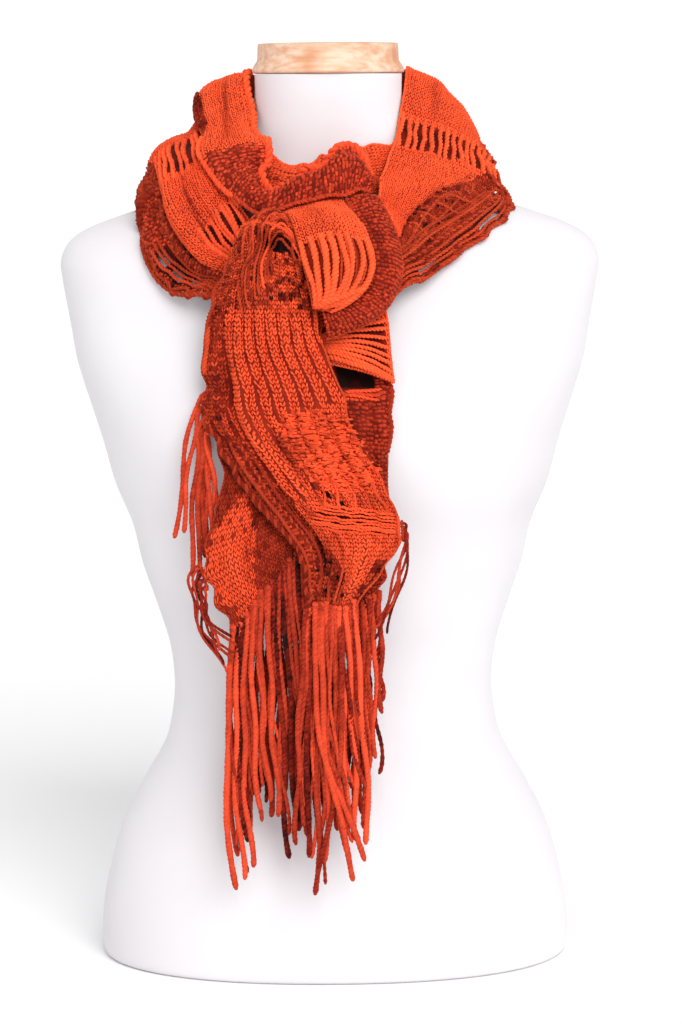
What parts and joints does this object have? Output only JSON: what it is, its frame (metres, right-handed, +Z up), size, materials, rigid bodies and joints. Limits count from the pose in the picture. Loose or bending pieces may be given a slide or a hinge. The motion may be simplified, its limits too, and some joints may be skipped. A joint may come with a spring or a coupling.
{
  "type": "net frill scarf on a dress form",
  "caption": "Knitted net scarf with frilled edges and cord fringe, wound round the neck of a limbless dress form and looped through itself.",
  "frame": {"origin": "centre of the form's flat underside", "axes": "+Z up, along the form's height; the front of the form faces -Y"},
  "size_m": [0.39, 0.2707, 0.6683],
  "materials": {
    "bright_knit": "soft knitted yarn, bright orange red",
    "dark_knit": "soft knitted yarn, dark rust",
    "mixed_knit": "soft knitted yarn, bright and dark mixed",
    "fringe_yarn": "twisted yarn cords",
    "form_jersey": "smooth white stretch jersey over a hard form",
    "cap_wood": "pale turned wood, satin"
  },
  "bodies": {
    "root": {"form_torso": "form_jersey", "form_neck_cap": "cap_wood", "scarf_inner_frill": "bright_knit", "scarf_wrap_left": "mixed_knit", "scarf_wrap_back": "bright_knit", "scarf_wrap_right": "bright_knit", "scarf_rear_tail": "mixed_knit", "scarf_side_tail": "dark_knit", "scarf_side_flap": "bright_knit", "scarf_front_tail": "mixed_knit", "scarf_knot_band": "dark_knit", "scarf_knot_loop": "bright_knit", "scarf_inner_back": "bright_knit", "scarf_inner_left": "bright_knit", "scarf_front_roll": "dark_knit", "fringe_rear": "fringe_yarn", "fringe_front": "fringe_yarn", "fringe_side": "fringe_yarn", "fringe_back": "fringe_yarn", "fringe_left": "fringe_yarn", "net_right": "dark_knit", "net_left": "dark_knit"}
  },
  "joints": []
}
